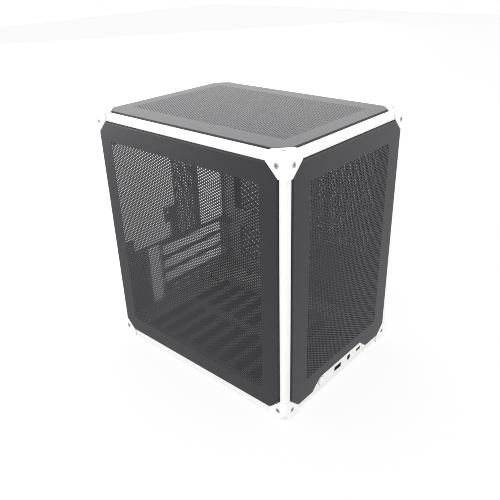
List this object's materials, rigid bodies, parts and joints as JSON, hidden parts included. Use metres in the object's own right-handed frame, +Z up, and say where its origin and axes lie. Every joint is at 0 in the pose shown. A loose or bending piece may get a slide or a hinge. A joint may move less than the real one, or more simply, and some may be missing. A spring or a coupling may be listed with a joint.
{
  "type": "micro ATX computer case",
  "caption": "Upright computer case: pale profiles and rounded corner brackets around removable black perforated panels, with ports and a power button at the foot of the front.",
  "frame": {"origin": "middle of the footprint, on the surface that the lower brackets stand on", "axes": "+Z up, -Y to the front with the ports, +X to the side that the board hangs on, +Y to the rear wall"},
  "size_m": [0.206, 0.271, 0.291],
  "materials": {
    "frame_profile": "satin white",
    "corner_bracket": "satin white",
    "cast_block": "as cast",
    "screw_steel": "bright",
    "black_steel": "fine powder coat",
    "inner_steel": "fine powder coat, dark grey",
    "stud_steel": "bright",
    "black_plastic": "matte",
    "black_screw": "satin",
    "spacer_steel": "satin",
    "circuit_board": "satin",
    "port_shell": "blackened",
    "port_insert": "matte",
    "jack_plastic": "matte",
    "button_plastic": "satin white"
  },
  "bodies": {
    "case": {"post_front_left": "frame_profile", "post_front_right": "frame_profile", "post_rear_left": "frame_profile", "post_rear_right": "frame_profile", "rail_front_bottom": "frame_profile", "rail_front_top": "frame_profile", "rail_rear_bottom": "frame_profile", "rail_rear_top": "frame_profile", "rail_left_bottom": "frame_profile", "rail_left_top": "frame_profile", "rail_right_bottom": "frame_profile", "rail_right_top": "frame_profile", "bracket_front_left_bottom": "corner_bracket", "bracket_front_left_top": "corner_bracket", "bracket_front_right_bottom": "corner_bracket", "bracket_front_right_top": "corner_bracket", "bracket_rear_left_bottom": "corner_bracket", "bracket_rear_left_top": "corner_bracket", "bracket_rear_right_bottom": "corner_bracket", "bracket_rear_right_top": "corner_bracket", "corner_blocks": "cast_block", "bracket_screws": "screw_steel", "snap_clips": "black_plastic", "rear_wall": "inner_steel", "rear_screws": "black_screw", "slot_cover": "inner_steel", "slot_cover_screws": "screw_steel", "floor_plate": "inner_steel", "floor_screws": "black_screw", "motherboard_tray": "inner_steel", "tray_spacers": "spacer_steel", "tray_screws": "black_screw", "board_standoffs": "black_screw", "port_board": "circuit_board", "port_board_screws": "black_screw", "usb_a_shell": "port_shell", "usb_a_tongue": "port_insert", "usb_c_shell": "port_shell", "usb_c_tongue": "port_insert", "audio_jack": "jack_plastic", "power_switch": "black_plastic"},
    "left_panel_body": {"left_panel": "black_steel", "left_panel_studs": "stud_steel"},
    "right_panel_body": {"right_panel": "black_steel", "right_panel_studs": "stud_steel"},
    "front_panel_body": {"front_panel": "black_steel", "front_panel_studs": "stud_steel"},
    "top_panel_body": {"top_panel": "black_steel", "top_panel_studs": "stud_steel"},
    "button_body": {"power_button": "button_plastic"}
  },
  "joints": [
    {"name": "left_panel_pull", "type": "slide", "parent": "case", "child": "left_panel_body", "axis": [-1, 0, 0], "range_m": [0, 0.12]},
    {"name": "right_panel_pull", "type": "slide", "parent": "case", "child": "right_panel_body", "axis": [1, 0, 0], "range_m": [0, 0.12]},
    {"name": "front_panel_pull", "type": "slide", "parent": "case", "child": "front_panel_body", "axis": [0, -1, 0], "range_m": [0, 0.12]},
    {"name": "top_panel_pull", "type": "slide", "parent": "case", "child": "top_panel_body", "axis": [0, 0, 1], "range_m": [0, 0.12]},
    {"name": "power_button_press", "type": "slide", "parent": "case", "child": "button_body", "axis": [0, 1, 0], "range_m": [0, 0.0012], "stiffness_N_per_m": 1000, "springref_m": -0.0006}
  ]
}
